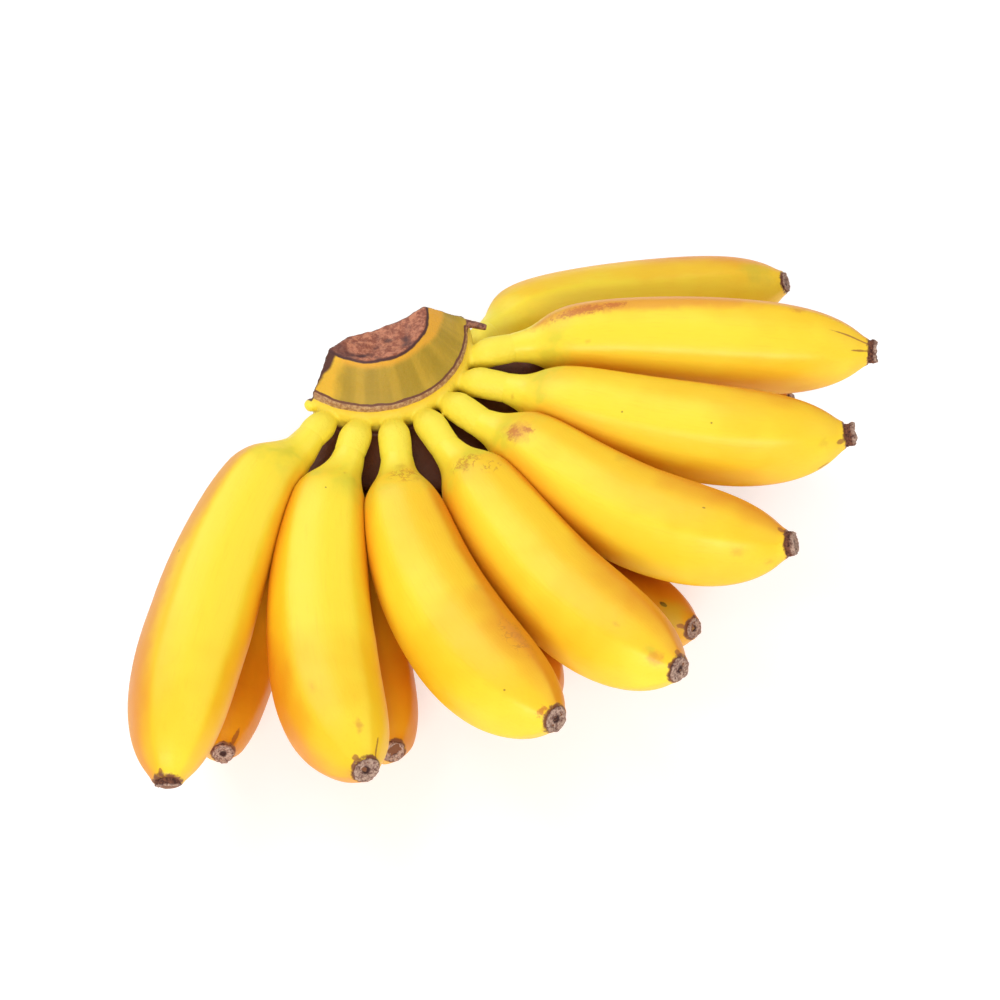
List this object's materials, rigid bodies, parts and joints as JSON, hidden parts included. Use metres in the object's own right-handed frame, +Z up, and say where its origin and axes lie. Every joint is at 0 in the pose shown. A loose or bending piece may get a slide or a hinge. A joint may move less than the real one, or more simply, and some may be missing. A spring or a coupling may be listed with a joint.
{
  "type": "hand of baby bananas",
  "caption": "Hand of ripe baby bananas in two fanned rows on a cut crown, lying on its lower row with dried blossom ends turned up.",
  "frame": {"origin": "centre of the bounding box in plan, at the height of the table the hand lies on", "axes": "+X along the width of the fan, from the leftmost banana to the rightmost as seen from the fingertips; +Y from the fingertips towards the crown; +Z up from the table"},
  "size_m": [0.2644, 0.16, 0.0603],
  "materials": {
    "banana_peel": "satin",
    "crown_peel": "satin",
    "dried_blossom": "matte"
  },
  "bodies": {
    "root": {"crown": "crown_peel", "upper_banana_1": "banana_peel", "upper_banana_2": "banana_peel", "upper_banana_3": "banana_peel", "upper_banana_4": "banana_peel", "upper_banana_5": "banana_peel", "upper_banana_6": "banana_peel", "upper_banana_7": "banana_peel", "lower_banana_1": "banana_peel", "lower_banana_2": "banana_peel", "lower_banana_3": "banana_peel", "lower_banana_4": "banana_peel", "lower_banana_5": "banana_peel", "lower_banana_6": "banana_peel", "lower_banana_7": "banana_peel", "upper_tip_1": "dried_blossom", "upper_tip_2": "dried_blossom", "upper_tip_3": "dried_blossom", "upper_tip_4": "dried_blossom", "upper_tip_5": "dried_blossom", "upper_tip_6": "dried_blossom", "upper_tip_7": "dried_blossom", "lower_tip_1": "dried_blossom", "lower_tip_2": "dried_blossom", "lower_tip_3": "dried_blossom", "lower_tip_4": "dried_blossom", "lower_tip_5": "dried_blossom", "lower_tip_6": "dried_blossom", "lower_tip_7": "dried_blossom"}
  },
  "joints": []
}
